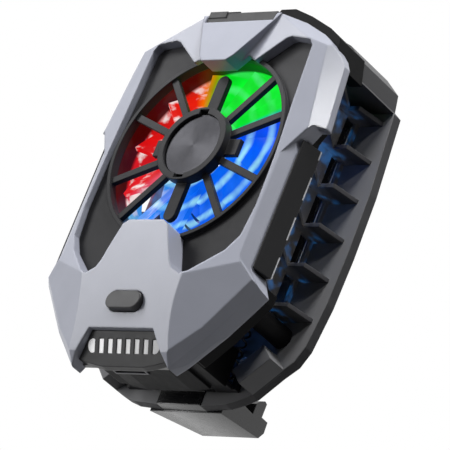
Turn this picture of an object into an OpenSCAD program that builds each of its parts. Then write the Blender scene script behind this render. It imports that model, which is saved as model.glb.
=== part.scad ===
// Clip-on phone cooling fan: crowned cover, spoked grille, cooled plate and a sprung jaw.
// Millimetres, +Z towards the viewer of the fan, z = 0 on the face that touches the phone.

/* [Fan] */
// radius of the round fan opening
opening_r = 21; // [20.6:0.1:21.4]
// radius of the grille hub
hub_r = 8.4; // [8.2:0.1:9]
// number of impeller blades
blade_count = 11; // [5:1:13]
// thickness of one impeller blade
blade_t = 0.9; // [0.6:0.1:1.4]
// width of a grille spoke
spoke_w = 1.5; // [1:0.1:2]

/* [Front] */
// height of the grille face above the phone
grille_z = 25.3; // [25.2:0.1:25.6]
// radius of the lengthwise crown of the lower shield
crown_r = 101.8; // [95:0.1:110]
// half width of the raised middle of the lower shield
crease_x = 13.1; // [12.6:0.1:13.4]
// travel of the power button
button_travel = 0.6; // [0.3:0.1:0.8]
// width of one light slot
light_slot_w = 1.3; // [0.9:0.1:1.5]

/* [Sides] */
// number of louvre fins on each side
fin_count = 6; // [4:1:6]
// spacing of the louvre fins
fin_pitch = 9.07; // [8:0.01:9.1]
// thickness of a louvre fin
fin_t = 0.9; // [0.6:0.1:1.4]

/* [Cooling] */
// width of the plate that touches the phone
cold_w = 34; // [30:0.5:34]
// width of the cooling tile
tile_w = 28; // [24:0.5:29]
// thickness of a heat sink fin
sink_fin_t = 0.6; // [0.4:0.1:0.9]
// spacing of the heat sink fins
sink_fin_pitch = 2.4; // [2:0.1:3.2]

/* [Jaw] */
// how far the sliding jaw pulls out
jaw_travel = 14; // [8:0.5:14]
// depth of the phone the jaws reach round
phone_depth = 9; // [8:0.1:9.5]
// gap of sliding fits
slide_gap = 0.15; // [0.1:0.01:0.2]
// gap of turning fits
turn_gap = 0.04; // [0.02:0.01:0.08]

/* [Hidden] */
$fn = 64;
far = 200;

// heights of the stack, from the phone outwards
back_z = 0.8;
back_top = 3.1;
tile_z = 3.9;
sink_z = 7.1;
sink_top = 8.8;
sink_fin_top = 11.8;
ring_top = 12.8;
frame_z = 14;
frame_top = 22.6;
plate_t = 2;
plate_z = grille_z - plate_t;
lip_t = 1;
lip_w = 0.9;
plate_face_z = grille_z - lip_t;
lip_gap = 0.1;
wing_bottom = 18.7;
wall_bottom = 20.8;

// the outlines are drawn for this opening, and move out with a larger one
drawn_opening_r = 21;
grow = opening_r - drawn_opening_r;

// line between the base plate and the block of the upper jaw
split_y = 20.85 + grow;
block_gap = 0.1;

// crown of the lower shield: a cylinder along X
crown_y = -10;
crown_top = 30.25;

// mirrors a right-hand outline, listed from the top end to the lower end, onto the left side
function right_side(right) = [for (p = right) [p[0] + grow, p[1] + (p[1] > 0 ? grow : 0)]];
function both_sides(right) = concat(
  right_side(right),
  [for (i = [len(right) - 1:-1:0]) [-right_side(right)[i][0], right_side(right)[i][1]]]
);

// outlines seen from the front, right half
cover_right = [
  [10.5, 30.3], [16.5, 28.8], [22, 26.2], [24.6, 24.3], [27.4, 21.6], [28.7, 19.6], [30.3, 5],
  [28, 5], [25.6, 1], [26.3, -1], [26.3, -27], [28.4, -30.3], [29, -31.2], [25.9, -35.3],
  [22.3, -39.8], [15.6, -46.6], [crease_x, -48.5], [12.8, -48.1], [8.65, -41.6]
];
window_right = [
  [3.3, 17.6], [4.3, 18.6], [6, 20.4], [8.2, 19.2], [14.4, 24.3], [15.6, 24.7], [20.6, 23.9],
  [21.5, 22.6], [22.1, 10], [22.9, -3], [23.1, -14], [22.4, -21], [20.4, -24.6], [14.4, -30.1],
  [12.6, -30.9], [10.2, -29.7], [9.2, -28.3], [6, -20.6], [4.6, -19.7]
];
plate_right = [
  [7, 23], [13.5, 25.6], [21.4, 24.6], [22.3, 22.8], [22.7, 10], [23.4, -3], [23.6, -14], [23, -22],
  [20.9, -25.6], [14, -32], [8, -32]
];
frame_right = [
  [4.6, 32], [5.6, 33.9], [9.5, 33.9], [14.8, 31.9], [21, 28.9], [24.6, 26.4], [26.4, 20.4],
  [27.4, 6], [26.35, 3.8], [26.35, -27], [25.9, -30.4], [20.3, -38.3], [14.8, -43.9], [14.2, -43.9],
  [14.2, -42], [9, -40.4]
];
frame_hole_right = [
  [7, 23.4], [14, 26], [22, 25.2], [23.1, 22.9], [23.7, 10], [24.4, -3], [24.6, -14], [23.7, -22.4],
  [21.2, -26.4], [14, -32.7], [8, -33.5], [6.4, -39.8]
];
base_right = [
  [9.1, 34.7], [13, 33.2], [19.2, 30.4], [23.7, 26.6], [24.6, 22.5], [26.8, 20.8], [28.5, 2.2],
  [28.8, -11.7], [28.5, -23], [27.65, -30], [27.3, -32.8], [25.8, -36.3], [23, -38.8], [18.4, -43.7],
  [15.2, -45.1], [12.3, -46], [6, -46.5]
];
// everything under a plane that passes a spot at a height and falls along a direction in plan
module under_plane(spot, height, direction, slope) {
  translate([spot[0] + grow, spot[1], height])
    rotate([0, 0, direction])
      rotate([0, atan(slope), 0])
        translate([-far / 2, -far / 2, -far]) cube([far, far, far]);
}

// a plan outline standing between two heights
module slab(right, low, high) {
  translate([0, 0, low])
    linear_extrude(high - low) polygon(both_sides(right));
}

// a profile in Y and Z, drawn out along X and centred
module along_x(width) {
  translate([-width / 2, 0, 0])
    rotate([90, 0, 90]) linear_extrude(width) children();
}

// a profile in X and Z, drawn out along Y from one end
module along_y(start_y, length) {
  translate([0, start_y + length, 0])
    rotate([90, 0, 0]) linear_extrude(length) children();
}

module both_x() {
  children();
  mirror([1, 0, 0]) children();
}

// falling faces of the front cover: spot in plan, height there, direction of fall, slope
side_face = [[crease_x, 0], 28.2, 0, 0.245];
upper_bevel = [[27.65, 4.5], 24.6, 5.9, 0.78];
corner_face = [[20.4, 26.7], 24.6, 59, 0.85];
wing_spot = [crease_x, -30.7];
wing_z = 28.3;
wing_slope = 0.36;
wing_fall = 0.293;
wing_bevels = [
  [[25.19, -34.75], 21.6, -37.9, 1.32], [[25.9, -35.3], 18.7, -37.9, 3.22],
  [[18.66, -42.67], 21.6, -44.6, 1.32], [[19.3, -43.3], 18.7, -44.6, 3.22]
];
prong_bevel = [[0, -45.7], 23.9, -90, 0.83];
rail_face = [[23.4, 0], 25.9, 0, 0.72];
cover_high = 32;
upper_z = 26.6;
upper_from_y = -5;
recess_right = [
  [23, -3], [24.4, -1], [28.2, 5.2], [40, 5.2], [40, -30.2], [28.3, -30.2], [24.6, -26.4], [23, -23]
];
shield_right = [[10.5, 30.3], [9.9, 28.6], [4.6, 18.9], [3.3, 17.6]];
shield_end_z = 26.8;
shield_tab_z = 29.6;
shield_end_y = 30.3 + grow;
shield_tab_y = 17.6 + grow;

module under_face(face) under_plane(face[0], face[1], face[2], face[3]);

// the crowned cylinder that rounds the cover lengthwise
module crown() {
  translate([0, crown_y, crown_top - crown_r])
    rotate([0, 90, 0]) cylinder(r = crown_r, h = far, center = true, $fn = 180);
}

// everything under the face of a lower wing, which falls to the side and to the lower end
module under_wing_face() {
  translate([wing_spot[0] + grow, wing_spot[1], wing_z])
    rotate([atan(wing_fall), 0, 0])
      rotate([0, atan(wing_slope * cos(atan(wing_fall))), 0])
        translate([-far / 2, -far / 2, -far]) cube([far, far, far]);
}

// the part of a side recess that lies above the sloping rail
module recess_cut() {
  difference() {
    translate([grow, 0, 0]) linear_extrude(far) polygon(recess_right);
    under_face(rail_face);
  }
}

// raised wedge at the top end
module upper_shield() {
  intersection() {
    slab(shield_right, frame_top, far);
    along_x(far)
      polygon([
        [shield_end_y, frame_top], [shield_end_y, shield_end_z], [shield_tab_y, shield_tab_z],
        [shield_tab_y, grille_z], [shield_tab_y + 6, frame_top]
      ]);
  }
}

// frame of the cover with the lower shield, before it is opened
module cover_shape() {
  intersection() {
    slab(cover_right, wing_bottom, cover_high);
    union() {
      crown();
      translate([-far / 2, upper_from_y, 0]) cube([far, far, upper_z]);
    }
    cover_faces();
    mirror([1, 0, 0]) cover_faces();
  }
}

// what lies under all the falling faces of the right-hand side
module cover_faces() {
  intersection() {
    under_face(side_face);
    under_face(upper_bevel);
    translate([0, grow, 0]) under_face(corner_face);
    under_wing_face();
    intersection_for (face = wing_bevels) under_face(face);
    under_face(prong_bevel);
  }
}

// button sizes, used by the cover, the button and the switch
button_y = -36.5;
button_half = 2.6;
button_r = 2;
button_top = 27.7;
button_flange_z = 22.9;
button_flange_t = 0.8;
button_rim = 0.6;

// a stadium standing along X
module stadium(half, r, low, high) {
  for (side = [-1, 1])
    translate([side * half, 0, low]) cylinder(r = r, h = high - low);
  translate([-half, -r, low]) cube([2 * half, 2 * r, high - low]);
}

module front_cover() color([0.72, 0.73, 0.78]) {
  difference() {
    union() {
      difference() {
        cover_shape();
        slab(window_right, 0, far);
        both_x() recess_cut();
      }
      upper_shield();
    }
    slab(plate_right, 0, plate_face_z);
    cylinder(r = opening_r + lip_w + lip_gap, h = grille_z + lip_gap, $fn = 128);
    slab(frame_right, 0, frame_top);
    translate([-far / 2, -1, 0]) cube([far, far, wall_bottom]);
    translate([0, button_y, 0]) stadium(button_half, button_r + slide_gap, 0, far);
    translate([0, button_y, 0])
      stadium(button_half, button_r + button_rim + slide_gap, 0, button_flange_z + button_flange_t + 0.1);
    translate([-strip_half - strip_gap, strip_y - strip_gap, strip_low - strip_gap])
      cube([2 * (strip_half + strip_gap), far, far]);
  }
}

// dark strip let into the top edge of the upper shield, with a raised step on one side
strip_half = 9.3;
strip_low = 24;
strip_high = 26.75;
strip_y = 28.4 + grow;
strip_end_y = shield_end_y + 0.5;
strip_gap = 0.05;
step_from_x = -9;
step_to_x = -4.2;
step_high = 27;
step_y = strip_y + 1.2;
step_end_y = strip_end_y + 0.3;
module top_strip() color([0.2, 0.2, 0.21]) {
  translate([-strip_half, strip_y, strip_low])
    cube([2 * strip_half, strip_end_y - strip_y, strip_high - strip_low]);
  translate([step_from_x, step_y, strip_low + 1])
    cube([step_to_x - step_from_x, step_end_y - step_y, step_high - strip_low - 1]);
}

// grille: plate, raised lip round the opening, spokes and hub
spoke_angles = [21, 50, 130, 159, 201, 230, 310, 339];
spoke_low = 23.7;
spoke_high = 24.8;
hub_low = 24.2;
bearing_seat = 0.5;
hub_rim_z = 26.5;
hub_floor_z = 25.2;
hub_recess_r = 7;
hub_notch_w = 2.4;
hub_notch_l = 1.9;
disc_t = 0.7;
stub_w = 2.9;
stub_end = 15.4;
block_w = 3.6;
block_end = 11.2;
bearing_r = 2.3;
module grille() color([0.13, 0.13, 0.14]) {
  difference() {
    union() {
      slab(plate_right, plate_z, plate_face_z);
      translate([0, 0, plate_z]) cylinder(r = opening_r + lip_w, h = plate_t, $fn = 128);
    }
    translate([0, 0, plate_z - 1]) cylinder(r = opening_r, h = plate_t + 2, $fn = 128);
  }
  difference() {
    union() {
      translate([0, 0, hub_low]) cylinder(r = hub_r, h = hub_rim_z - hub_low);
      for (angle = spoke_angles)
        rotate([0, 0, angle])
          translate([hub_r - 1, -spoke_w / 2, spoke_low])
            cube([opening_r + 1.6 - hub_r, spoke_w, spoke_high - spoke_low]);
      for (angle = [90, 270])
        rotate([0, 0, angle]) {
          translate([hub_r - 1, -stub_w / 2, spoke_low])
            cube([stub_end + 1 - hub_r, stub_w, spoke_high - spoke_low]);
          translate([stub_end, 0, spoke_low]) cylinder(d = stub_w, h = spoke_high - spoke_low);
        }
      for (angle = [0, 180])
        rotate([0, 0, angle])
          translate([hub_r - 1, -block_w / 2, spoke_low])
            cube([block_end + 1 - hub_r, block_w, spoke_high - spoke_low]);
    }
    translate([0, 0, hub_floor_z]) cylinder(r = hub_recess_r, h = 5);
    for (angle = [90, 270])
      rotate([0, 0, angle])
        translate([hub_recess_r - 1, -hub_notch_w / 2, hub_floor_z]) cube([hub_notch_l, hub_notch_w, 5]);
    translate([0, 0, hub_low - 1]) cylinder(r = bearing_r, h = 1 + bearing_seat);
  }
}
module hub_disc() color([0.3, 0.3, 0.31]) {
  translate([0, 0, hub_floor_z]) cylinder(r = hub_recess_r - 0.1, h = disc_t);
}

// motor and impeller
shaft_r = 1;
motor_low = 14.4;
motor_high = 18.4;
cup_low = 13.1;
cup_floor_t = 0.9;
cup_wall_t = 0.8;
cup_r = 8.2;
cup_gap = 0.4;
cup_high = spoke_low - cup_gap;
magnet_t = 0.9;
magnet_r = cup_r - cup_wall_t;
stator_r = 5.9;
pole_count = 6;
board_t = 0.9;
board_low = hub_low - board_t;
board_r = magnet_r - cup_gap;
tip_gap = 1.1;
blade_tip_r = opening_r - tip_gap;
blade_chord = 9;
blade_tilt = 30;
blade_mid_z = 19.6;
shaft_high = 20.6;
module motor_shaft() color([0.75, 0.75, 0.77])
  translate([0, 0, cup_low]) cylinder(r = shaft_r, h = shaft_high - cup_low);
module bearing() color([0.7, 0.6, 0.35]) {
  difference() {
    translate([0, 0, motor_low]) cylinder(r = bearing_r, h = hub_low + bearing_seat - motor_low);
    translate([0, 0, motor_low - 1]) cylinder(r = shaft_r + turn_gap, h = shaft_high + 1.2 - motor_low);
  }
}
module motor_stator() color([0.55, 0.33, 0.16]) {
  pole_w = 2;
  height = motor_high - motor_low;
  coil_h = 2.4;
  coil_w = 3;
  coil_from = 3.6;
  coil_to = 5.4;
  difference() {
    translate([0, 0, motor_low]) cylinder(r = bearing_r + 1, h = height);
    cylinder(r = bearing_r, h = far);
  }
  for (pole = [0:pole_count - 1])
    rotate([0, 0, (pole + 0.5) * 360 / pole_count]) {
      translate([bearing_r + 0.5, -pole_w / 2, motor_low + 0.4])
        cube([stator_r - bearing_r - 0.7, pole_w, height - 0.8]);
      translate([coil_from, -coil_w / 2, (motor_low + motor_high - coil_h) / 2])
        cube([coil_to - coil_from, coil_w, coil_h]);
    }
}
module magnet_ring() color([0.25, 0.25, 0.27])
  difference() {
    translate([0, 0, cup_low + cup_floor_t]) cylinder(r = magnet_r, h = motor_high - cup_low - cup_floor_t);
    translate([0, 0, cup_low]) cylinder(r = magnet_r - magnet_t, h = far);
  }
module impeller() color([0.85, 0.88, 0.92]) {
  difference() {
    translate([0, 0, cup_low]) cylinder(r = cup_r, h = cup_high - cup_low);
    translate([0, 0, cup_low + cup_floor_t]) cylinder(r = magnet_r, h = far);
    translate([0, 0, cup_low - 1]) cylinder(r = shaft_r, h = far);
  }
  intersection() {
    for (blade = [0:blade_count - 1])
      rotate([0, 0, blade * 360 / blade_count])
        translate([0, 0, blade_mid_z])
          rotate([blade_tilt, 0, 0])
            translate([0, -blade_chord / 2, -blade_t / 2]) cube([far, blade_chord, blade_t]);
    difference() {
      cylinder(r = blade_tip_r, h = far, $fn = 96);
      translate([0, 0, -1]) cylinder(r = cup_r - cup_wall_t / 2, h = far + 2);
    }
  }
}
module light_board() color([0.1, 0.25, 0.15])
  translate([0, 0, board_low])
    difference() {
      cylinder(r = board_r, h = board_t);
      translate([0, 0, -1]) cylinder(r = bearing_r, h = far);
    }
module lights() color([0.95, 0.95, 0.9]) {
  light_count = 8;
  light_w = 1.2;
  light_t = 0.9;
  for (light = [0:light_count - 1])
    rotate([0, 0, (light + 0.5) * 360 / light_count])
      translate([board_r - light_w, -light_w / 2, board_low - light_t]) cube([light_w, light_w, light_t]);
}

// lit rings that lie on the heat sink and let the air through between them
ring_inset = 3.3;
ring_outer_r = opening_r - ring_inset;
ring_pitch = 2.4;
ring_w = 1.8;
ring_count = 4;
ring_rib_w = 1.4;
ring_rib_count = 6;
duct_t = 1.1;
duct_low = 14.5;
module light_ring() color([0.9, 0.92, 0.95]) {
  height = ring_top - sink_fin_top;
  reach = (ring_count - 1) * ring_pitch;
  for (ring = [0:ring_count - 1])
    translate([0, 0, sink_fin_top])
      difference() {
        cylinder(r = ring_outer_r - ring * ring_pitch, h = height, $fn = 96);
        translate([0, 0, -1])
          cylinder(r = ring_outer_r - ring_w - ring * ring_pitch, h = height + 2, $fn = 96);
      }
  for (rib = [0:ring_rib_count - 1])
    rotate([0, 0, (rib + 0.5) * 360 / ring_rib_count])
      translate([ring_outer_r - reach - ring_w / 2, -ring_rib_w / 2, sink_fin_top])
        cube([reach, ring_rib_w, height / 2]);
}
module fan_duct() color([0.16, 0.16, 0.17])
  difference() {
    translate([0, 0, duct_low]) cylinder(r = opening_r + duct_t, h = plate_z - duct_low, $fn = 128);
    cylinder(r = opening_r, h = far, $fn = 128);
  }

// mid frame: the dark band between the cover and the base, with the lower end wall
side_low = 18.8;
side_from_y = -28;
side_to_y = 20.4 + grow;
end_wall_low = 6.6;
end_wall_high = 18.5;
end_wall_right = [[14.2, -43.3], [14.2, -44], [10.5, -44], [10.5, -44.6], [6, -45.2]];
end_rib_x = 12.6 + grow;
end_rib_t = 1.6;
end_rib_y = -44;
end_rib_l = 8;
post_r = 2.3;
post_spots = [[20.6, -31], [-20.6, -31]];
block_spots = [[16, 28.5 + grow], [-16, 28.5 + grow]];
screw_r = 1;
screw_head_r = 1.9;
screw_head_t = 1.1;
socket_x = -4.5;
socket_w = 9;
socket_h = 3.2;
socket_l = 7.3;
socket_y = -45.5;
board_space_half = 12.5 + grow;
board_space_y = -50;
board_space_l = 18;
board_space_high = 21.4;
control_z = 16.6;
control_t = 1.2;
socket_z = control_z - socket_h;
module mid_frame() color([0.11, 0.11, 0.12]) {
  difference() {
    union() {
      difference() {
        slab(frame_right, frame_z, frame_top);
        slab(frame_hole_right, 0, far);
        both_x()
          translate([15, side_from_y, 0]) cube([far, side_to_y - side_from_y, side_low]);
        translate([-board_space_half, board_space_y, 0])
          cube([2 * board_space_half, board_space_l, board_space_high]);
      }
      slab(end_wall_right, end_wall_low, end_wall_high);
      both_x()
        translate([end_rib_x, end_rib_y, end_wall_low])
          cube([end_rib_t, end_rib_l, end_wall_high - end_wall_low]);
      for (spot = post_spots)
        translate([spot[0], spot[1], back_top]) cylinder(r = post_r, h = frame_z + 1 - back_top);
    }
    translate([socket_x - socket_w / 2 - slide_gap, -far, socket_z - slide_gap])
      cube([socket_w + 2 * slide_gap, far - 40, socket_h + 2 * slide_gap]);
    for (spot = concat(post_spots, block_spots))
      translate([spot[0], spot[1], 0]) cylinder(r = screw_r, h = frame_z + 4);
  }
}

// dark strips that close the side recesses of the cover
insert_x = 26.4 + grow;
insert_low_x = 28 + grow;
insert_high_x = 26.9 + grow;
insert_high = 23.7;
insert_from_y = -26.9;
insert_to_y = 2.1;
module side_inserts() color([0.12, 0.12, 0.13])
  both_x()
    along_y(insert_from_y, insert_to_y - insert_from_y)
      polygon([
        [insert_x, side_low], [insert_low_x, side_low], [insert_high_x, insert_high], [insert_x, insert_high]
      ]);

// louvre fins on both sides, the finest work on the object
fin_first_y = 18.4;
fin_top = 9.5;
fin_slant = 1.56;
fin_bow = 0.00144;
fin_bow_y = -17;
fin_reach = 26.7 + grow;
panel_t = 0.8;
panel_low = 7.2;
panel_high = duct_low - 0.5;
strut_x = 24.5 + grow;
strut_knee_x = opening_r + duct_t + 0.5;
strut_knee_z = duct_low - 0.3;
strut_foot = 2.2;
strut_w = 1.7;
fin_last_y = fin_first_y - (fin_count - 1) * fin_pitch;
function fin_tip(y) = fin_reach - fin_bow * pow(y - fin_bow_y, 2);
module louvre_fin(y) {
  tip = fin_tip(y);
  along_y(y - fin_t / 2, fin_t)
    polygon([[fin_x, back_top], [tip, back_top], [tip - fin_slant, fin_top], [fin_x, fin_top]]);
  along_y(y - fin_t / 2, fin_t)
    polygon([
      [fin_x, fin_top - 1], [fin_x + strut_foot, fin_top - 1], [strut_x + strut_w, side_low],
      [strut_x, side_low], [strut_knee_x, strut_knee_z], [fin_x, panel_high]
    ]);
}
module side_louvres() color([0.15, 0.15, 0.16])
  both_x() {
    for (fin = [0:fin_count - 1]) louvre_fin(fin_first_y - fin * fin_pitch);
    translate([fin_x, fin_last_y, panel_low])
      cube([panel_t, fin_first_y - fin_last_y, panel_high - panel_low]);
    translate([fin_x, fin_last_y, back_top])
      cube([panel_t, fin_first_y - fin_last_y, 1]);
  }

// light bar in the notch of the cover
notch_right = [[8.6, -41.65], [12.7, -48]];
bezel_y = -41.65;
bezel_z = 24.1;
bezel_fall = 0.5;
bezel_t = 1.6;
bezel_end_y = -48.6;
bezel_arc_r = 50;
bezel_arc_y = -48.3;
slot_count = 8;
slot_pitch = 2.4;
slot_y = -44.35;
slot_half = 1.3;
lens_y = -42.4;
lens_end_y = -47.2;
lens_t = 1;
function bezel_face(y) = bezel_z - (bezel_y - y) * bezel_fall;
module light_slots(gap) {
  end_slot_x = (slot_count - 1) / 2 * slot_pitch;
  for (slot = [1:slot_count - 2])
    translate([slot * slot_pitch - end_slot_x - light_slot_w / 2 + gap, slot_y - slot_half + gap, 0])
      cube([light_slot_w - 2 * gap, 2 * (slot_half - gap), far]);
  both_x()
    intersection() {
      translate([end_slot_x, slot_y, 0]) cylinder(r = slot_half - gap, h = far);
      translate([end_slot_x - light_slot_w / 2 + gap, -far, 0]) cube([far, far, far]);
    }
}
// a strip under the bezel face, from one y to another
module bezel_strip(from_y, to_y, under, thickness) {
  intersection() {
    slab(notch_right, 0, far);
    along_x(far)
      polygon([
        [from_y, bezel_face(from_y) - under], [to_y, bezel_face(to_y) - under],
        [to_y, bezel_face(to_y) - under - thickness], [from_y, bezel_face(from_y) - under - thickness]
      ]);
  }
}
module light_bezel() color([0.1, 0.1, 0.11])
  difference() {
    intersection() {
      bezel_strip(bezel_y, bezel_end_y, 0, bezel_t);
      translate([0, bezel_arc_r + bezel_arc_y, 0]) cylinder(r = bezel_arc_r, h = far, $fn = 128);
    }
    light_slots(0);
  }
module light_lens() color([0.95, 0.95, 0.95]) {
  bezel_strip(lens_y, lens_end_y, bezel_t, lens_t);
  intersection() {
    light_slots(0.03);
    bezel_strip(lens_y, lens_end_y, 0.15, bezel_t);
  }
}

// cooling stack
flange_over = 0.7;
seal_w = 2.5;
seal_gap = 0.2;
seal_half = tile_w / 2 + seal_gap + seal_w;
stack_gap = 0.3;
fin_x = max(cold_w / 2 + flange_over, seal_half) + stack_gap;
sink_over = 0.3;
sink_half_x = cold_w / 2 + sink_over;
sink_end_gap = 0.35;
sink_half_y = split_y + block_gap - sink_end_gap;
module cold_plate() color([0.78, 0.79, 0.8]) {
  translate([-cold_w / 2, -cold_w / 2, 0]) cube([cold_w, cold_w, back_top]);
  translate([-cold_w / 2 - flange_over, -cold_w / 2 - flange_over, back_top])
    cube([cold_w + 2 * flange_over, cold_w + 2 * flange_over, tile_z - back_top]);
}
module cooling_tile() color([0.93, 0.93, 0.9])
  translate([-tile_w / 2, -tile_w / 2, tile_z]) cube([tile_w, tile_w, sink_z - tile_z]);
module tile_seal() color([0.2, 0.2, 0.2])
  difference() {
    translate([-seal_half, -seal_half, tile_z]) cube([2 * seal_half, 2 * seal_half, sink_z - tile_z]);
    translate([-tile_w / 2 - seal_gap, -tile_w / 2 - seal_gap, 0])
      cube([tile_w + 2 * seal_gap, tile_w + 2 * seal_gap, far]);
  }
module heat_sink() color([0.7, 0.71, 0.73]) {
  fins = floor((2 * sink_half_y - sink_fin_t) / sink_fin_pitch);
  translate([-sink_half_x, -sink_half_y, sink_z]) cube([2 * sink_half_x, 2 * sink_half_y, sink_top - sink_z]);
  for (fin = [0:fins])
    translate([-sink_half_x, (fin - fins / 2) * sink_fin_pitch - sink_fin_t / 2, sink_top - 0.5])
      cube([2 * sink_half_x, sink_fin_t, sink_fin_top - sink_top + 0.5]);
}

// boards, switch and button
control_half = board_space_half - 0.7;
control_y = -43.2;
control_l = 10.8;
module control_board() color([0.08, 0.22, 0.14])
  translate([-control_half, control_y, control_z]) cube([2 * control_half, control_l, control_t]);
socket_wall = 0.4;
socket_tongue_t = 0.7;
module power_socket() color([0.7, 0.7, 0.72]) {
  cavity_h = (socket_h - socket_tongue_t) / 2 - socket_wall;
  difference() {
    translate([socket_x - socket_w / 2, socket_y, socket_z]) cube([socket_w, socket_l, socket_h]);
    for (low = [socket_wall, (socket_h + socket_tongue_t) / 2])
      translate([socket_x - socket_w / 2 + socket_wall, socket_y - 1, socket_z + low])
        cube([socket_w - 2 * socket_wall, socket_l - socket_wall, cavity_h]);
  }
}
switch_body_t = 1.6;
switch_top = control_z + control_t + switch_body_t + 1.2;
module tact_switch() color([0.2, 0.2, 0.2]) {
  translate([-3, button_y - 1.8, control_z + control_t]) cube([6, 3.6, switch_body_t]);
  translate([0, button_y, control_z + control_t]) cylinder(r = 1.2, h = switch_top - control_z - control_t);
}
module power_button() color([0.14, 0.14, 0.15])
  translate([0, button_y, 0]) {
    stadium(button_half, button_r, button_flange_z, button_top);
    stadium(button_half, button_r + button_rim, button_flange_z, button_flange_z + button_flange_t);
    translate([0, 0, switch_top + button_travel + 0.05])
      cylinder(r = 1.3, h = button_flange_z + 0.2 - switch_top - button_travel);
  }

// base plate, with the slot for the sliding jaw and a block on each lower corner
neck_half = 6;
neck_end_y = -21.6;
corner_block = [8, 4.4, 5];
corner_spot = [19.6, -39.3];
corner_turn = 46;
module back_plate() color([0.17, 0.17, 0.18]) {
  difference() {
    union() {
      difference() {
        slab(base_right, back_z, back_top);
        translate([-far / 2, split_y, 0]) cube([far, far, far]);
      }
      both_x()
        translate([corner_spot[0], corner_spot[1], back_top - 0.5])
          rotate([0, 0, corner_turn])
            translate([-corner_block[0] / 2, -corner_block[1] / 2, 0]) cube(corner_block);
    }
    translate([-cold_w / 2 - slide_gap, -cold_w / 2 - slide_gap, 0])
      cube([cold_w + 2 * slide_gap, cold_w + 2 * slide_gap, far]);
    translate([-neck_half, -far, 0]) cube([2 * neck_half, far + neck_end_y, far]);
    for (spot = post_spots) screw_hole(spot);
    for (side = [-1, 1])
      translate([side * guide_screw_x, guide_screw_y, guide_screw_low]) cylinder(r = guide_screw_r, h = far);
  }
}
module screw_hole(spot) {
  translate([spot[0], spot[1], 0]) cylinder(r = screw_r, h = frame_z);
  translate([spot[0], spot[1], 0]) cylinder(r = screw_head_r + 0.1, h = back_z + screw_head_t);
}
module back_screws() color([0.3, 0.3, 0.31])
  for (spot = concat(post_spots, block_spots))
    translate([spot[0], spot[1], back_z]) {
      difference() {
        cylinder(r = screw_head_r, h = screw_head_t);
        translate([-1.2, -0.25, -1]) cube([2.4, 0.5, 1.5]);
        translate([-0.25, -1.2, -1]) cube([0.5, 2.4, 1.5]);
      }
      translate([0, 0, screw_head_t - 0.1]) cylinder(r = screw_r, h = (spot[1] > 0 ? 16 : 9));
    }

// guide that keeps the tongue of the sliding jaw down and seats its springs
tongue_low = 3.25;
tongue_high = 4.65;
tongue_half = 8.8;
guide_y = -43.4;
guide_end_y = -38.3;
guide_half = 10.3;
guide_high = 5.8;
guide_screw_x = 14.9;
guide_screw_y = -37.7;
guide_screw_r = 0.8;
guide_screw_low = 1.6;
ear_t = 1.2;
ear_half = 1.2;
ear_w = 1.5;
spring_x = 11.9;
spring_z = 4.75;
spring_r = 1.3;
spring_bore_r = 0.8;
spring_seat_t = 1;
spring_seat_w = 4;
spring_seat_h = 3.2;
spring_y = guide_y + spring_seat_t;
ear_x = spring_x + spring_r + 0.1;
module slide_guide() color([0.2, 0.2, 0.21])
  difference() {
    union() {
      translate([-guide_half, guide_y, tongue_high + slide_gap])
        cube([2 * guide_half, guide_end_y - guide_y, guide_high - tongue_high - slide_gap]);
      both_x() {
        translate([tongue_half + slide_gap, guide_y, back_top])
          cube([guide_half - tongue_half - slide_gap, guide_end_y - guide_y, guide_high - back_top]);
        translate([guide_half - 0.5, guide_y, back_top])
          cube([spring_seat_w, spring_seat_t, spring_seat_h]);
        translate([ear_x, guide_y, back_top]) cube([ear_w, guide_screw_y + ear_half - guide_y, ear_t]);
        translate([ear_x, guide_screw_y - ear_half, back_top])
          cube([guide_screw_x + 1.5 - ear_x, 2 * ear_half, ear_t]);
      }
    }
    for (side = [-1, 1])
      translate([side * guide_screw_x, guide_screw_y, 0]) cylinder(r = guide_screw_r, h = far);
  }
module guide_screws() color([0.6, 0.6, 0.62])
  for (side = [-1, 1])
    translate([side * guide_screw_x, guide_screw_y, guide_screw_low]) {
      cylinder(r = guide_screw_r, h = 3);
      translate([0, 0, back_top + ear_t - guide_screw_low]) cylinder(r = 1.2, h = 0.8);
    }

// hook shared by both jaws: outer face leaning in, lip under the phone
hook_top_half = 9.7;
hook_low_half = 7.4;
hook_low = -14.75;
lip_z = -phone_depth;
hook_inner_y = -41.6;
module hook(top_z) {
  intersection() {
    along_x(far)
      polygon([
        [-46.8 - 0.1885 * (top_z - back_z), top_z], [-44.6, hook_low + 1.15], [-42.9, hook_low],
        [-40.5, hook_low + 0.15], [-40.6, hook_low + 2.5], [-37.6, hook_low + 2.5], [-37.4, hook_low + 3.35],
        [-38, lip_z - 1.25], [-39.25, lip_z], [hook_inner_y, lip_z], [hook_inner_y, top_z]
      ]);
    along_y(-far / 2, far)
      polygon([
        [hook_low_half, hook_low], [hook_top_half, back_z], [hook_top_half, far], [-hook_top_half, far],
        [-hook_top_half, back_z], [-hook_low_half, hook_low]
      ]);
  }
}
pad_t = 0.7;
pad_half = 7;
pad_low = -8.2;
pad_high = -0.6;
module jaw_pad()
  translate([-pad_half, hook_inner_y, pad_low]) cube([2 * pad_half, pad_t, pad_high - pad_low]);
crossbar_half = 13.1;
crossbar_t = 1.6;
crossbar_y = -23.5;
crossbar_high = 6.2;
module sliding_jaw() color([0.2, 0.2, 0.21]) {
  hook(back_z - 0.2);
  intersection() {
    slab(base_right, back_z - 0.3, tongue_low + 0.1);
    translate([-neck_half + slide_gap, -far, 0]) cube([2 * (neck_half - slide_gap), far + crossbar_y, far]);
  }
  translate([-tongue_half, guide_y, tongue_low])
    cube([2 * tongue_half, crossbar_y - guide_y + 0.5, tongue_high - tongue_low]);
  translate([-crossbar_half, crossbar_y, tongue_low])
    cube([2 * crossbar_half, crossbar_t, crossbar_high - tongue_low]);
}
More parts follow.
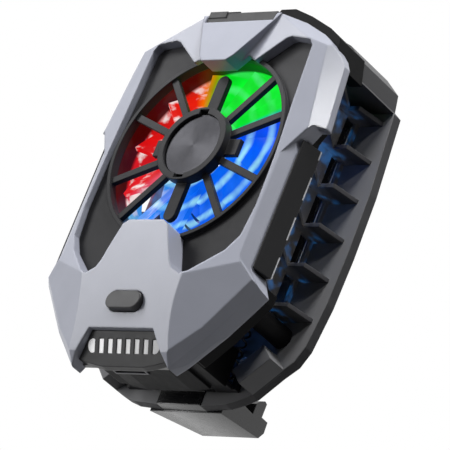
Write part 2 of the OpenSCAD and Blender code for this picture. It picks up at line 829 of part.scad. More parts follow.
module sliding_pad() color([0.1, 0.1, 0.1]) jaw_pad();
module jaw_springs() color([0.7, 0.7, 0.72])
  for (side = [-1, 1])
    translate([side * spring_x, spring_y, spring_z])
      rotate([-90, 0, 0])
        difference() {
          cylinder(r = spring_r, h = crossbar_y - spring_y);
          translate([0, 0, -1]) cylinder(r = spring_bore_r, h = far);
        }

// upper jaw with the block that carries it
fixed_shift = 11.6 - grow;
block_top = 13.9;
module fixed_jaw() color([0.16, 0.16, 0.17])
  difference() {
    union() {
      difference() {
        slab(base_right, back_z, block_top);
        translate([-far / 2, split_y + block_gap - far, 0]) cube([far, far, far]);
      }
      mirror([0, 1, 0]) translate([0, fixed_shift, 0]) hook(back_z + 0.2);
    }
    for (spot = block_spots) screw_hole(spot);
    for (spot = block_spots) translate([spot[0], spot[1], 0]) cylinder(r = screw_r, h = far);
  }
module fixed_pad() color([0.1, 0.1, 0.1])
  mirror([0, 1, 0]) translate([0, fixed_shift, 0]) jaw_pad();

front_cover();
grille();
hub_disc();
top_strip();
side_inserts();
light_bezel();
light_lens();
mid_frame();
side_louvres();
fan_duct();
light_ring();
light_board();
lights();
motor_stator();
bearing();
impeller();
magnet_ring();
motor_shaft();
heat_sink();
cooling_tile();
tile_seal();
cold_plate();
back_plate();
slide_guide();
control_board();
power_socket();
tact_switch();
power_button();
fixed_jaw();
fixed_pad();
sliding_jaw();
sliding_pad();
jaw_springs();
back_screws();
guide_screws();
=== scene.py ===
"""Looks of a clip-on phone cooling fan: materials, soft edges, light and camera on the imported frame."""
import math

import bpy
from mathutils import Matrix, Vector


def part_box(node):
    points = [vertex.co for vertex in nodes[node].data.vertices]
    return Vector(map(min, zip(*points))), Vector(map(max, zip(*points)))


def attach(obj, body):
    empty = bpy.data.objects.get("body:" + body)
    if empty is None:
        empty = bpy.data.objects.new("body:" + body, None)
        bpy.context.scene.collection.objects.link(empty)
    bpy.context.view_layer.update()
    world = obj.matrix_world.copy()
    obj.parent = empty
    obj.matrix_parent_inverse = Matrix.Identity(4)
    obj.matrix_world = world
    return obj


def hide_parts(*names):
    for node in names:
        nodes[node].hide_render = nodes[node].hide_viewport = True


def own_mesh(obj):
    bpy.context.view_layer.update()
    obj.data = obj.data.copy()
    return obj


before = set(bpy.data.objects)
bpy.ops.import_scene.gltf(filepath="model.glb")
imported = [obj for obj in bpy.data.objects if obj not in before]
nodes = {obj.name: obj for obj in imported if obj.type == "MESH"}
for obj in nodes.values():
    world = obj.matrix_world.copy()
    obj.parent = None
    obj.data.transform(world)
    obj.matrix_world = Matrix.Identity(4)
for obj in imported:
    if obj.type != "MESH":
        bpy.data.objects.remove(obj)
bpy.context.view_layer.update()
scene = bpy.context.scene
scene.view_settings.view_transform = "Standard"

# one millimetre in metres
MM = 0.001
WHITE = (1, 1, 1, 1)


def linear(red, green, blue):
    """A display colour from 0 to 255 as linear values, by the standard display curve."""
    values = []
    for value in (red, green, blue):
        part = value / 255
        values.append(part / 12.92 if part <= 0.04045 else ((part + 0.055) / 1.055) ** 2.4)
    return (*values, 1.0)


# camera at the photograph's angle: lens and sensor in millimetres, its place in metres
LENS = 343.66
SENSOR_WIDTH = 36
CAMERA_PLACE = Vector((0.58025, -0.33690, 0.55488))
CAMERA_RIGHT = Vector((0.73892, 0.34599, -0.57818))
CAMERA_UP = Vector((0.00116, 0.85744, 0.51459))
CAMERA_BACK = Vector((0.67379, -0.38091, 0.63318))
camera_data = bpy.data.cameras.new("camera")
camera_data.lens = LENS
camera_data.sensor_width = SENSOR_WIDTH
camera = bpy.data.objects.new("camera", camera_data)
camera_turn = Matrix((CAMERA_RIGHT, CAMERA_UP, CAMERA_BACK)).transposed().to_4x4()
camera.matrix_world = Matrix.Translation(CAMERA_PLACE) @ camera_turn
scene.collection.objects.link(camera)
scene.camera = camera

# steps that the materials share

# the range that most of a noise lies in
NOISE_LOW = 0.3
NOISE_HIGH = 0.7
# which of the three values of a place is meant
ALONG_X, ALONG_Y, ALONG_Z = range(3)
# sockets of the mix node that carry colours
MIX_FIRST = 6
MIX_SECOND = 7
MIX_RESULT = 2
# rounded edges in the shading: rays for each spot, and the usual radius in millimetres
EDGE_SAMPLES = 8
EDGE_R = 0.3


def tree_and_shader(material):
    """The node tree of a material, and the shader in it."""
    tree = material.node_tree
    return tree, tree.nodes["Principled BSDF"]


def start_material(name):
    """A new material, with its node tree and its shader."""
    material = bpy.data.materials.new(name)
    material.use_nodes = True
    tree, shader = tree_and_shader(material)
    return material, tree, shader


def noise(tree, scale, detail=4.0):
    """Noise over the object's own coordinates; scale is in waves per metre."""
    place = tree.nodes.new("ShaderNodeTexCoord")
    texture = tree.nodes.new("ShaderNodeTexNoise")
    texture.inputs["Scale"].default_value = scale
    texture.inputs["Detail"].default_value = detail
    tree.links.new(place.outputs["Object"], texture.inputs["Vector"])
    return texture.outputs["Fac"]


def spread(tree, value, low, high, value_low=NOISE_LOW, value_high=NOISE_HIGH):
    """A value mapped from the range that it takes to another range."""
    mapping = tree.nodes.new("ShaderNodeMapRange")
    mapping.inputs["From Min"].default_value = value_low
    mapping.inputs["From Max"].default_value = value_high
    mapping.inputs["To Min"].default_value = low
    mapping.inputs["To Max"].default_value = high
    tree.links.new(value, mapping.inputs["Value"])
    return mapping.outputs["Result"]


def two_tone(tree, value, dark, light):
    """A colour that wanders between two tones."""
    ramp = tree.nodes.new("ShaderNodeValToRGB")
    low_stop, high_stop = ramp.color_ramp.elements
    low_stop.position = NOISE_LOW
    low_stop.color = dark
    high_stop.position = NOISE_HIGH
    high_stop.color = light
    tree.links.new(value, ramp.inputs["Fac"])
    return ramp.outputs["Color"]


def bump(tree, shader, height, strength, distance, edge_radius=EDGE_R):
    """A fine surface texture on softly rounded edges; the radius is in millimetres."""
    edge = tree.nodes.new("ShaderNodeBevel")
    edge.samples = EDGE_SAMPLES
    edge.inputs["Radius"].default_value = edge_radius * MM
    node = tree.nodes.new("ShaderNodeBump")
    tree.links.new(edge.outputs["Normal"], node.inputs["Normal"])
    node.inputs["Strength"].default_value = strength
    node.inputs["Distance"].default_value = distance
    tree.links.new(height, node.inputs["Height"])
    tree.links.new(node.outputs["Normal"], shader.inputs["Normal"])


def math_node(tree, operation, *values):
    """A sum, product or other step on values that are each a socket or a plain number."""
    node = tree.nodes.new("ShaderNodeMath")
    node.operation = operation
    for socket, value in zip(node.inputs, values):
        if isinstance(value, (int, float)):
            socket.default_value = value
        else:
            tree.links.new(value, socket)
    return node.outputs["Value"]


def object_place(tree):
    """The X, Y and Z of the spot on the object."""
    place = tree.nodes.new("ShaderNodeTexCoord")
    parts = tree.nodes.new("ShaderNodeSeparateXYZ")
    tree.links.new(place.outputs["Object"], parts.inputs["Vector"])
    return parts.outputs["X"], parts.outputs["Y"], parts.outputs["Z"]


def mixed(tree, share, first, second):
    """One colour laid over another by a share; the second is a plain colour."""
    mix = tree.nodes.new("ShaderNodeMix")
    mix.data_type = "RGBA"
    tree.links.new(share, mix.inputs["Factor"])
    tree.links.new(first, mix.inputs[MIX_FIRST])
    mix.inputs[MIX_SECOND].default_value = second
    return mix.outputs[MIX_RESULT]


def lay_over(material, share, tone):
    """Lays a plain tone, by a share, over the colour that a material has so far."""
    tree, shader = tree_and_shader(material)
    colour = shader.inputs["Base Color"]
    tree.links.new(mixed(tree, share, colour.links[0].from_socket, tone), colour)


# plastics: scales are in waves per metre, depths in metres
TONE_SCALE = 120
GLOSS_SCALE = 700
GRAIN_SCALE = 9000
GRAIN_DETAIL = 2.0
GRAIN_STRENGTH = 0.25
GRAIN_DEPTH = 0.00002
COAT_ROUGHNESS = 0.1
# least and most roughness
GLOSSY = (0.22, 0.28)
HARD = (0.30, 0.40)
SMOOTH = (0.34, 0.40)
SATIN = (0.40, 0.46)
MATT = (0.46, 0.52)


def moulded(name, dark, light, rough, shine,
            grain=GRAIN_SCALE, grain_depth=GRAIN_DEPTH, coat=0.0, edge=EDGE_R):
    """Moulded or painted plastic: slow colour drift, uneven gloss and a fine grain."""
    material, tree, shader = start_material(name)
    tree.links.new(two_tone(tree, noise(tree, TONE_SCALE), dark, light), shader.inputs["Base Color"])
    tree.links.new(spread(tree, noise(tree, GLOSS_SCALE), *rough), shader.inputs["Roughness"])
    shader.inputs["Specular IOR Level"].default_value = shine
    shader.inputs["Coat Weight"].default_value = coat
    shader.inputs["Coat Roughness"].default_value = COAT_ROUGHNESS
    bump(tree, shader, noise(tree, grain, GRAIN_DETAIL), GRAIN_STRENGTH, grain_depth, edge)
    return material


silver = moulded("silver_paint", linear(168, 171, 184), linear(174, 177, 190), SATIN, shine=0.2,
                 grain=14000, grain_depth=0.00001, coat=0.3, edge=0.6)
trim_dark = moulded("dark_plastic", linear(32, 32, 34), linear(35, 35, 37), SATIN, shine=0.25)
plate_black = moulded("grille_plastic", linear(38, 38, 40), linear(42, 42, 44), SMOOTH, shine=0.05)
base_grey = moulded("base_plastic", linear(84, 84, 86), linear(92, 92, 94), MATT, shine=0.03)
block_grey = moulded("block_plastic", linear(60, 60, 62), linear(66, 66, 68), SATIN, shine=0.2)
louvre_grey = moulded("louvre_plastic", linear(76, 76, 79), linear(84, 84, 87), SATIN, shine=0.1)
# painted shade: the mid frame's black is darker than the other black plastics
frame_black_painted_shade = moulded("frame_plastic_painted_shade", linear(12, 12, 13), linear(15, 15, 16), MATT, shine=0.05)
insert_black = moulded("insert_plastic", linear(18, 18, 20), linear(21, 21, 23), SATIN, shine=0.2)
plain_black = moulded("black_plastic", linear(18, 18, 20), linear(21, 21, 23), SATIN, shine=0.2)
jaw_gloss = moulded("jaw_plastic", linear(24, 24, 26), linear(28, 28, 30), GLOSSY, shine=0.5)
rubber = moulded("pad_rubber", linear(20, 20, 20), linear(28, 28, 28), (0.7, 0.85), shine=0.2,
                 grain=5000, grain_depth=0.00005)
foam = moulded("seal_foam", linear(30, 30, 30), linear(44, 44, 44), (0.85, 0.95), shine=0.1,
               grain=3000, grain_depth=0.0001)
ceramic = moulded("tile_ceramic", linear(226, 226, 220), linear(236, 236, 230), HARD, shine=0.5)
board = moulded("circuit_board", linear(16, 60, 38), linear(22, 74, 46), HARD, shine=0.5)
magnet = moulded("magnet", linear(40, 40, 42), linear(52, 52, 54), (0.5, 0.65), shine=0.4)

# metals: the noise is squeezed by a factor along each axis, so that it turns into fine lines
LINE_SCALE = 600
LINE_STRENGTH = 0.2
LINE_DEPTH = 0.00001
MILLED = (1, 12, 1)
EVEN = (1, 1, 1)
WOUND = (1, 1, 20)


def metal(name, dark, light, rough, squeeze):
    """Bare metal with fine lines or an even grain."""
    material, tree, shader = start_material(name)
    place = tree.nodes.new("ShaderNodeTexCoord")
    mapping = tree.nodes.new("ShaderNodeMapping")
    mapping.inputs["Scale"].default_value = squeeze
    texture = tree.nodes.new("ShaderNodeTexNoise")
    texture.inputs["Scale"].default_value = LINE_SCALE
    tree.links.new(place.outputs["Object"], mapping.inputs["Vector"])
    tree.links.new(mapping.outputs["Vector"], texture.inputs["Vector"])
    lines = texture.outputs["Fac"]
    tree.links.new(two_tone(tree, lines, dark, light), shader.inputs["Base Color"])
    tree.links.new(spread(tree, lines, *rough), shader.inputs["Roughness"])
    shader.inputs["Metallic"].default_value = 1.0
    bump(tree, shader, lines, LINE_STRENGTH, LINE_DEPTH)
    return material


aluminium = metal("milled_aluminium", linear(196, 198, 202), linear(214, 216, 220), (0.28, 0.4), MILLED)
steel = metal("plain_steel", linear(176, 176, 180), linear(196, 196, 200), (0.25, 0.36), MILLED)
brass = metal("sintered_brass", linear(180, 150, 92), linear(200, 168, 106), (0.35, 0.5), EVEN)
spring_wire = metal("spring_wire", linear(46, 46, 48), linear(56, 56, 58), (0.4, 0.5), EVEN)
dark_nickel = metal("dark_nickel", linear(62, 62, 65), linear(72, 72, 75), (0.35, 0.45), EVEN)
copper = metal("varnished_wire", linear(168, 96, 50), linear(190, 112, 62), (0.3, 0.42), WOUND)

# metal turned on a lathe: waves per metre of its tone, and how far its sheen is drawn out
SPUN_TONE_SCALE = 900
SPUN_STRETCH = 0.8


def spun_metal(name, dark, light, rough):
    """Dark metal turned on a lathe, whose sheen lies in wedges round the middle."""
    material, tree, shader = start_material(name)
    tangent = tree.nodes.new("ShaderNodeTangent")
    tangent.direction_type = "RADIAL"
    tangent.axis = "Z"
    tree.links.new(tangent.outputs["Tangent"], shader.inputs["Tangent"])
    shader.inputs["Anisotropic"].default_value = SPUN_STRETCH
    shader.inputs["Metallic"].default_value = 1.0
    tree.links.new(two_tone(tree, noise(tree, SPUN_TONE_SCALE), dark, light), shader.inputs["Base Color"])
    tree.links.new(spread(tree, noise(tree, GLOSS_SCALE), *rough), shader.inputs["Roughness"])
    return material


hub_metal = spun_metal("hub_metal", linear(38, 38, 41), linear(42, 42, 45), (0.30, 0.34))

# coloured light in sectors round the fan, painted with pale arcs and white streaks: share of a turn from -180
# degrees, display colour, how strong the painted pale arcs are there, and how strong the painted white
# streaks are
LIGHT_SECTORS = [
    (0.000, (225, 14, 18), 0.0, 0.9), (0.110, (228, 30, 40), 0.0, 1.0), (0.140, (225, 90, 120), 0.3, 0.9),
    (0.160, (70, 160, 245), 0.7, 0.5), (0.230, (12, 125, 245), 0.8, 0.1), (0.330, (4, 95, 240), 0.9, 0.0),
    (0.450, (8, 105, 250), 0.8, 0.0), (0.553, (0, 70, 250), 0.6, 0.0), (0.568, (4, 245, 52), 0.1, 0.0),
    (0.745, (10, 238, 40), 0.15, 0.0), (0.765, (150, 160, 0), 0.0, 0.0), (0.790, (250, 110, 0), 0.0, 0.4),
    (0.815, (235, 30, 12), 0.0, 0.8), (1.000, (225, 14, 18), 0.0, 0.9),
]
SECTOR_COLOUR, SECTOR_PAINTED_ARCS, SECTOR_PAINTED_STREAKS = range(1, 4)
PAINTED_ARC_COLOUR = linear(170, 245, 255)
PAINTED_STREAK_COLOUR = linear(250, 236, 234)
UNLIT_COLOUR = linear(12, 12, 14)
UNLIT_SHINE = 0.1
# painted arcs: radians per metre of radius, and how far the noise shifts them
ARC_WAVE = 1250
ARC_WANDER = 6.0
# scales of the noises: shift of the painted arcs, strength of the painted arcs, painted white streaks and
# glow
WANDER_SCALE = 70
BAND_SCALE = 130
STREAK_SCALE = 260
GLOW_SCALE = 250
# part of a wave that shows as an arc, least and most share of an arc, noise at which a streak sets in
# and is full, and least and most share of the glow
CREST = (0.1, 1.0)
BAND_SHARE = (0.3, 1.2)
STREAK_ONSET = (0.52, 0.62)
GLOW_LEAST = 0.8
GLOW_MOST = 1.15
# the colours lean with the depth under the grille, so that they fall in the same sectors at all depths
GRILLE_Z = 25.3
LEAN_X = 1.064
LEAN_Y = -0.602
# height where the painted glow on a wall gives way to painted shade, and how far up the change takes; in
# millimetres
FADE_Z = 19.4
FADE_RISE = 0.8


def sector_ramp(tree, turn_share, column):
    """A ramp round the fan over one column of the sectors: a colour, or a plain share."""
    ramp = tree.nodes.new("ShaderNodeValToRGB")
    stops = ramp.color_ramp.elements
    while len(stops) < len(LIGHT_SECTORS):
        stops.new(0.5)
    for stop, sector in zip(stops, LIGHT_SECTORS):
        stop.position = sector[0]
        value = sector[column]
        stop.color = linear(*value) if column == SECTOR_COLOUR else (value, value, value, 1)
    tree.links.new(turn_share, ramp.inputs["Fac"])
    return ramp.outputs["Color"]


def painted_fan_light(name, strength, high_strength, rough):
    """Plastic with the light of the fan in colour sectors, with another strength higher up; on the blades and
    the duct wall this glow is painted light, and the weaker glow higher up is painted shade.
    """
    material, tree, shader = start_material(name)
    place_x, place_y, place_z = object_place(tree)
    depth = math_node(tree, "SUBTRACT", GRILLE_Z * MM, place_z)
    across = math_node(tree, "MULTIPLY_ADD", depth, LEAN_X, place_x)
    along = math_node(tree, "MULTIPLY_ADD", depth, LEAN_Y, place_y)
    angle = math_node(tree, "ARCTAN2", along, across)
    turn_share = math_node(tree, "MULTIPLY_ADD", angle, 1 / (2 * math.pi), 0.5)
    across_square = math_node(tree, "POWER", across, 2)
    along_square = math_node(tree, "POWER", along, 2)
    radius = math_node(tree, "SQRT", math_node(tree, "ADD", across_square, along_square))
    wander = math_node(tree, "MULTIPLY", noise(tree, WANDER_SCALE), ARC_WANDER)
    wave = math_node(tree, "SINE", math_node(tree, "MULTIPLY_ADD", radius, ARC_WAVE, wander))
    crests = spread(tree, wave, 0, 1, *CREST)
    bands = math_node(tree, "MULTIPLY", crests, spread(tree, noise(tree, BAND_SCALE), *BAND_SHARE))
    painted_arcs = math_node(tree, "MULTIPLY", bands, sector_ramp(tree, turn_share, SECTOR_PAINTED_ARCS))
    dimming = spread(tree, place_z, 1, high_strength / strength, FADE_Z * MM, (FADE_Z + FADE_RISE) * MM)
    painted_flecks = spread(tree, noise(tree, STREAK_SCALE), 0, 1, *STREAK_ONSET)
    dimmed_painted_flecks = math_node(tree, "MULTIPLY", painted_flecks, dimming)
    painted_streaks = math_node(tree, "MULTIPLY", dimmed_painted_flecks, sector_ramp(tree, turn_share, SECTOR_PAINTED_STREAKS))
    # painted highlights: pale arcs and white streaks laid over the sector colours
    colour = mixed(tree, painted_arcs, sector_ramp(tree, turn_share, SECTOR_COLOUR), PAINTED_ARC_COLOUR)
    colour = mixed(tree, painted_streaks, colour, PAINTED_STREAK_COLOUR)
    tree.links.new(colour, shader.inputs["Emission Color"])
    low_glow = spread(tree, noise(tree, GLOW_SCALE), strength * GLOW_LEAST, strength * GLOW_MOST)
    tree.links.new(math_node(tree, "MULTIPLY", low_glow, dimming), shader.inputs["Emission Strength"])
    shader.inputs["Base Color"].default_value = UNLIT_COLOUR
    shader.inputs["Roughness"].default_value = rough
    shader.inputs["Specular IOR Level"].default_value = UNLIT_SHINE
    return material


# the light ring is a lamp with painted arcs and streaks; the blades glow with painted light, and the duct
# wall with painted light that gives way to painted shade higher up
rings_glow_painted_arcs = painted_fan_light("rings_glow_painted_arcs", strength=0.9, high_strength=0.9, rough=0.4)
blades_painted_glow = painted_fan_light("blades_painted_glow", strength=0.95, high_strength=0.95, rough=0.35)
wall_painted_glow = painted_fan_light("wall_painted_glow", strength=0.85, high_strength=0.07, rough=0.4)

# blue light of the fan painted as glowing flecks onto the inner ends of the louvres, which are painted paler
# there as lit: noise at which a fleck sets in and is full, and how far out it reaches, in millimetres
PAINTED_SPILL_COLOUR = linear(28, 120, 200)
SPILL_SCALE = 300
SPILL_ONSET = (0.5, 0.66)
SPILL_FULL_X = 19.4
SPILL_END_X = 22.6
PANEL_PAINTED_LIGHT_TONE = linear(156, 152, 148)
# pale stretches on the lower edge of the inserts, one for each louvre: lengths in millimetres,
# and the cosine at which a stretch sets in and is full
STRETCH_TONE = linear(225, 226, 230)
STRETCH_Z = 19.3
STRETCH_BLUR = 0.1
STRETCH_PITCH = 9.07
STRETCH_START_Y = 11.7
STRETCH_ONSET = (-0.25, -0.15)


def paint_spill_and_panel_light(material, strength):
    """Paints the light of the fan in glowing flecks on the inner side of a material, and paints that side
    paler as lit.
    """
    tree, shader = tree_and_shader(material)
    across = math_node(tree, "ABSOLUTE", object_place(tree)[ALONG_X])
    inner_painted_light = spread(tree, across, 1, 0, SPILL_FULL_X * MM, SPILL_END_X * MM)
    lay_over(material, inner_painted_light, PANEL_PAINTED_LIGHT_TONE)
    painted_flecks = spread(tree, noise(tree, SPILL_SCALE), 0, strength, *SPILL_ONSET)
    tree.links.new(math_node(tree, "MULTIPLY", inner_painted_light, painted_flecks), shader.inputs["Emission Strength"])
    shader.inputs["Emission Color"].default_value = PAINTED_SPILL_COLOUR


def add_pale_edge(material):
    """Lays a pale line in stretches along the lower edge of a material."""
    tree = material.node_tree
    _, along, height = object_place(tree)
    from_start = math_node(tree, "SUBTRACT", along, STRETCH_START_Y * MM)
    turn = math_node(tree, "MULTIPLY", from_start, 2 * math.pi / (STRETCH_PITCH * MM))
    stretch = spread(tree, math_node(tree, "COSINE", turn), 0, 1, *STRETCH_ONSET)
    low = spread(tree, height, 1, 0, (STRETCH_Z - STRETCH_BLUR) * MM, STRETCH_Z * MM)
    lay_over(material, math_node(tree, "MULTIPLY", stretch, low), STRETCH_TONE)


def paint_light_rise(material, tone, axis, low, high):
    """Paints light as a rise to a lighter tone along an axis, between two places in millimetres."""
    tree = material.node_tree
    lay_over(material, spread(tree, object_place(tree)[axis], 0, 1, low * MM, high * MM), tone)


def add_crown(material, radius):
    """Turns the sheen across X as on a face that is rounded to a radius in millimetres."""
    tree, shader = tree_and_shader(material)
    square = math_node(tree, "POWER", object_place(tree)[ALONG_X], 2)
    node = tree.nodes.new("ShaderNodeBump")
    node.inputs["Distance"].default_value = 1.0
    tree.links.new(math_node(tree, "MULTIPLY", square, -0.5 / (radius * MM)), node.inputs["Height"])
    tree.links.new(shader.inputs["Normal"].links[0].from_socket, node.inputs["Normal"])
    tree.links.new(node.outputs["Normal"], shader.inputs["Normal"])


# painted glow and painted light on the inner ends of the louvres
paint_spill_and_panel_light(louvre_grey, strength=0.3)
add_pale_edge(insert_black)
add_crown(jaw_gloss, radius=38)
# painted sheen: the grille plate grows lighter towards +Y
paint_light_rise(plate_black, linear(76, 76, 78), ALONG_Y, low=-12, high=24)
# painted light: the flat top face of the back plate is lighter than its sides
paint_light_rise(base_grey, linear(140, 140, 142), ALONG_Z, low=2.9, high=3.05)

# milky plastic of the lens and the lamps, with the least and most share of a lamp's glow
MILKY_TONE_SCALE = 300
MILKY_ROUGHNESS = 0.3
LAMP_SCALE = 400
LAMP_LEAST = 0.9
LAMP_MOST = 1.1
# the lens is lit behind its slots alone, and the light fades to the right; its tone is darkened to the right
# and outside the slots as painted shade; in millimetres
LENS_LIT_Y = -45.8
LENS_BLUR = 0.1
LENS_HALF = 10.0
LENS_PAINTED_SHADE = linear(58, 58, 60)
LENS_FAR_PAINTED_SHADE = linear(172, 172, 174)


def milky(name, colour):
    """Milky plastic that can glow white."""
    material, tree, shader = start_material(name)
    tree.links.new(two_tone(tree, noise(tree, MILKY_TONE_SCALE), colour, WHITE), shader.inputs["Base Color"])
    shader.inputs["Emission Color"].default_value = WHITE
    shader.inputs["Roughness"].default_value = MILKY_ROUGHNESS
    return material


def light_lamp(material, strength):
    """Lights a lamp all over, a little unevenly."""
    tree, shader = tree_and_shader(material)
    glow = spread(tree, noise(tree, LAMP_SCALE), strength * LAMP_LEAST, strength * LAMP_MOST)
    tree.links.new(glow, shader.inputs["Emission Strength"])


def light_lens(material, strength):
    """Lights the lens within its slots, lets its light fade across X, and darkens its tone across X and
    outside the slots as painted shade.
    """
    tree, shader = tree_and_shader(material)
    across, along, _ = object_place(tree)
    outside = spread(tree, along, 1, 0, (LENS_LIT_Y - LENS_BLUR) * MM, LENS_LIT_Y * MM)
    far = spread(tree, across, 0, 1, -LENS_HALF * MM, LENS_HALF * MM)
    # painted shade: darker to the right, and dark outside the slots under the bezel
    lay_over(material, far, LENS_FAR_PAINTED_SHADE)
    lay_over(material, outside, LENS_PAINTED_SHADE)
    glow = spread(tree, across, strength, 0, -LENS_HALF * MM, LENS_HALF * MM)
    inside = math_node(tree, "SUBTRACT", 1, outside)
    tree.links.new(math_node(tree, "MULTIPLY", glow, inside), shader.inputs["Emission Strength"])


lens_white = milky("lens_white", linear(225, 225, 225))
light_lens(lens_white, strength=0.35)
lamp_white = milky("lamp_white", linear(250, 250, 245))
light_lamp(lamp_white, strength=2.0)

FINISHES = {
    "front_cover": silver, "grille": plate_black, "hub_disc": hub_metal, "top_strip": trim_dark,
    "side_inserts": insert_black, "light_bezel": plain_black, "light_lens": lens_white,
    "mid_frame": frame_black_painted_shade, "side_louvres": louvre_grey, "fan_duct": wall_painted_glow,
    "light_ring": rings_glow_painted_arcs, "light_board": board, "lights": lamp_white, "motor_stator": copper,
    "bearing": brass, "impeller": blades_painted_glow, "magnet_ring": magnet, "motor_shaft": steel,
    "heat_sink": aluminium, "cooling_tile": ceramic, "tile_seal": foam, "cold_plate": aluminium,
    "back_plate": base_grey, "slide_guide": plain_black, "control_board": board,
    "power_socket": dark_nickel, "tact_switch": plain_black, "power_button": trim_dark,
    "fixed_jaw": block_grey, "fixed_pad": rubber, "sliding_jaw": jaw_gloss, "sliding_pad": rubber,
    "jaw_springs": steel, "back_screws": steel, "guide_screws": steel,
}
# edge rounding of the plain nodes on the outside, in millimetres
EDGES = {
    "top_strip": 0.2, "side_inserts": 0.3, "power_button": 0.5, "sliding_jaw": 0.35, "fixed_pad": 0.2,
    "sliding_pad": 0.2, "cold_plate": 0.2,
}
EDGE_SEGMENTS = 3
# corners nearer than this, in millimetres, count as one
WELD_GAP = 0.01
# faces that meet within the first angle count as one flat face, and an edge over the second is rounded
FLAT_ANGLE = math.radians(0.5)
SHARP_ANGLE = math.radians(28)


def soften(piece, width):
    """Rounds the sharp edges of a node without touching its own mesh."""
    weld = piece.modifiers.new("joined_corners", "WELD")
    weld.merge_threshold = WELD_GAP * MM
    flat = piece.modifiers.new("flat_faces", "DECIMATE")
    flat.decimate_type = "DISSOLVE"
    flat.angle_limit = FLAT_ANGLE
    edge = piece.modifiers.new("soft_edges", "BEVEL")
    edge.width = width * MM
    edge.segments = EDGE_SEGMENTS
    edge.limit_method = "ANGLE"
    edge.angle_limit = SHARP_ANGLE
    edge.harden_normals = True
    edge.use_clamp_overlap = True


for name, piece in nodes.items():
    piece.data.materials.clear()
    piece.data.materials.append(FINISHES[name])
    if name in EDGES:
        soften(piece, EDGES[name])


# springs of the sliding jaw, coiled from wire and fixed to the housing, though the real ones shorten as the
# jaw is pulled out; lengths in millimetres
SPRING_TURNS = 8
SPRING_WIRE_R = 0.24
# how finely the wire is drawn
RINGS_PER_TURN = 20
WIRE_SIDES = 6


def add_coil(points, faces, foot, length, radius, wire):
    """Adds one coil of wire, which runs along Y from the foot of its axis, to the points and faces."""
    first = len(points)
    rings = SPRING_TURNS * RINGS_PER_TURN
    for ring in range(rings + 1):
        turn = 2 * math.pi * ring / RINGS_PER_TURN
        along = foot[1] + wire + (length - 2 * wire) * ring / rings
        for side in range(WIRE_SIDES):
            around = 2 * math.pi * side / WIRE_SIDES
            reach = radius + wire * math.cos(around)
            points.append((
                foot[0] + reach * math.cos(turn),
                along + wire * math.sin(around),
                foot[2] + reach * math.sin(turn),
            ))
    for ring in range(rings):
        near = first + ring * WIRE_SIDES
        far = near + WIRE_SIDES
        for side in range(WIRE_SIDES):
            after = (side + 1) % WIRE_SIDES
            faces.append((near + side, near + after, far + after, far + side))
    last = first + rings * WIRE_SIDES
    faces.append(tuple(range(first + WIRE_SIDES - 1, first - 1, -1)))
    faces.append(tuple(range(last, last + WIRE_SIDES)))


spring_low, spring_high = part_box("jaw_springs")
spring_length = spring_high[1] - spring_low[1]
spring_r = (spring_high[2] - spring_low[2]) / 2
wire_r = SPRING_WIRE_R * MM
coil_points = []
coil_faces = []
for spring_x in (spring_low[0] + spring_r, spring_high[0] - spring_r):
    spring_foot = (spring_x, spring_low[1], spring_low[2] + spring_r)
    add_coil(coil_points, coil_faces, spring_foot, spring_length, spring_r - wire_r, wire_r)
coil_mesh = bpy.data.meshes.new("spring_coils")
coil_mesh.from_pydata(coil_points, [], coil_faces)
coil_mesh.polygons.foreach_set("use_smooth", [True] * len(coil_faces))
spring_coils = bpy.data.objects.new("spring_coils", coil_mesh)
scene.collection.objects.link(spring_coils)
coil_mesh.materials.append(spring_wire)
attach(spring_coils, "housing")
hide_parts("jaw_springs")
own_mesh(spring_coils)

# floor, world and lamps, in metres and watts
FLOOR_HALF = 3.0
FLOOR_Z = -0.05
FLOOR_TONE = (0.3, 0.3, 0.3, 1)
FLOOR_ROUGHNESS = 0.8
WORLD_STRENGTH = 0.03
LAMP_AIM = Vector((0, -0.005, 0.015))


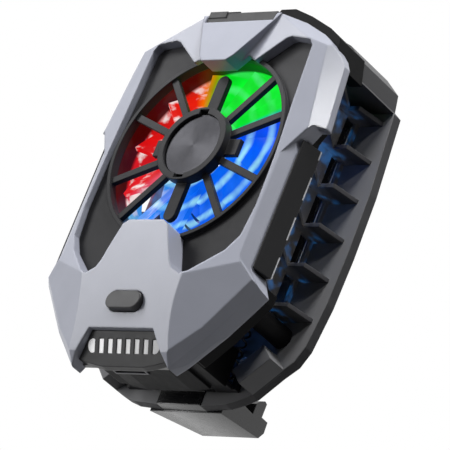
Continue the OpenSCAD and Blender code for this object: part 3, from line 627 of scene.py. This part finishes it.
def white_to_camera(tree, surface):
    """Shows plain white to the camera and to reflections, and the given surface to all else."""
    path = tree.nodes.new("ShaderNodeLightPath")
    bounced = math_node(tree, "MAXIMUM", path.outputs["Is Glossy Ray"], path.outputs["Is Transmission Ray"])
    seen = math_node(tree, "MAXIMUM", path.outputs["Is Camera Ray"], bounced)
    white = tree.nodes.new("ShaderNodeEmission")
    white.inputs["Strength"].default_value = 1.0
    mix = tree.nodes.new("ShaderNodeMixShader")
    share, for_other_rays, for_seen_rays = mix.inputs
    tree.links.new(seen, share)
    tree.links.new(surface, for_other_rays)
    tree.links.new(white.outputs["Emission"], for_seen_rays)
    return mix.outputs["Shader"]


floor_mesh = bpy.data.meshes.new("floor")
corners = [(-FLOOR_HALF, -FLOOR_HALF, FLOOR_Z), (FLOOR_HALF, -FLOOR_HALF, FLOOR_Z),
           (FLOOR_HALF, FLOOR_HALF, FLOOR_Z), (-FLOOR_HALF, FLOOR_HALF, FLOOR_Z)]
floor_mesh.from_pydata(corners, [], [(0, 1, 2, 3)])
floor = bpy.data.objects.new("floor", floor_mesh)
scene.collection.objects.link(floor)
floor_material, floor_tree, floor_shader = start_material("floor_white")
floor_shader.inputs["Base Color"].default_value = FLOOR_TONE
floor_shader.inputs["Roughness"].default_value = FLOOR_ROUGHNESS
floor_surface = white_to_camera(floor_tree, floor_shader.outputs["BSDF"])
floor_tree.links.new(floor_surface, floor_tree.nodes["Material Output"].inputs["Surface"])
floor.data.materials.append(floor_material)

world = bpy.data.worlds.new("studio")
world.use_nodes = True
scene.world = world
world_tree = world.node_tree
background = world_tree.nodes["Background"]
background.inputs["Color"].default_value = WHITE
background.inputs["Strength"].default_value = WORLD_STRENGTH
world_surface = white_to_camera(world_tree, background.outputs["Background"])
world_tree.links.new(world_surface, world_tree.nodes["World Output"].inputs["Surface"])


def soft_light(name, place, size, power):
    """A rectangular lamp aimed at the middle of the object."""
    data = bpy.data.lights.new(name, "AREA")
    data.shape = "RECTANGLE"
    data.size, data.size_y = size
    data.energy = power
    light = bpy.data.objects.new(name, data)
    light.location = place
    aim = LAMP_AIM - Vector(place)
    light.rotation_euler = aim.to_track_quat("-Z", "Y").to_euler()
    scene.collection.objects.link(light)


soft_light("key", place=(-0.68, 0.16, 0.66), size=(1.3, 0.35), power=9.5)
soft_light("side", place=(0.42, 0.49, 0.77), size=(0.04, 0.15), power=1)
soft_light("rim", place=(0.22, 0.92, 0.32), size=(0.4, 0.3), power=10.5)
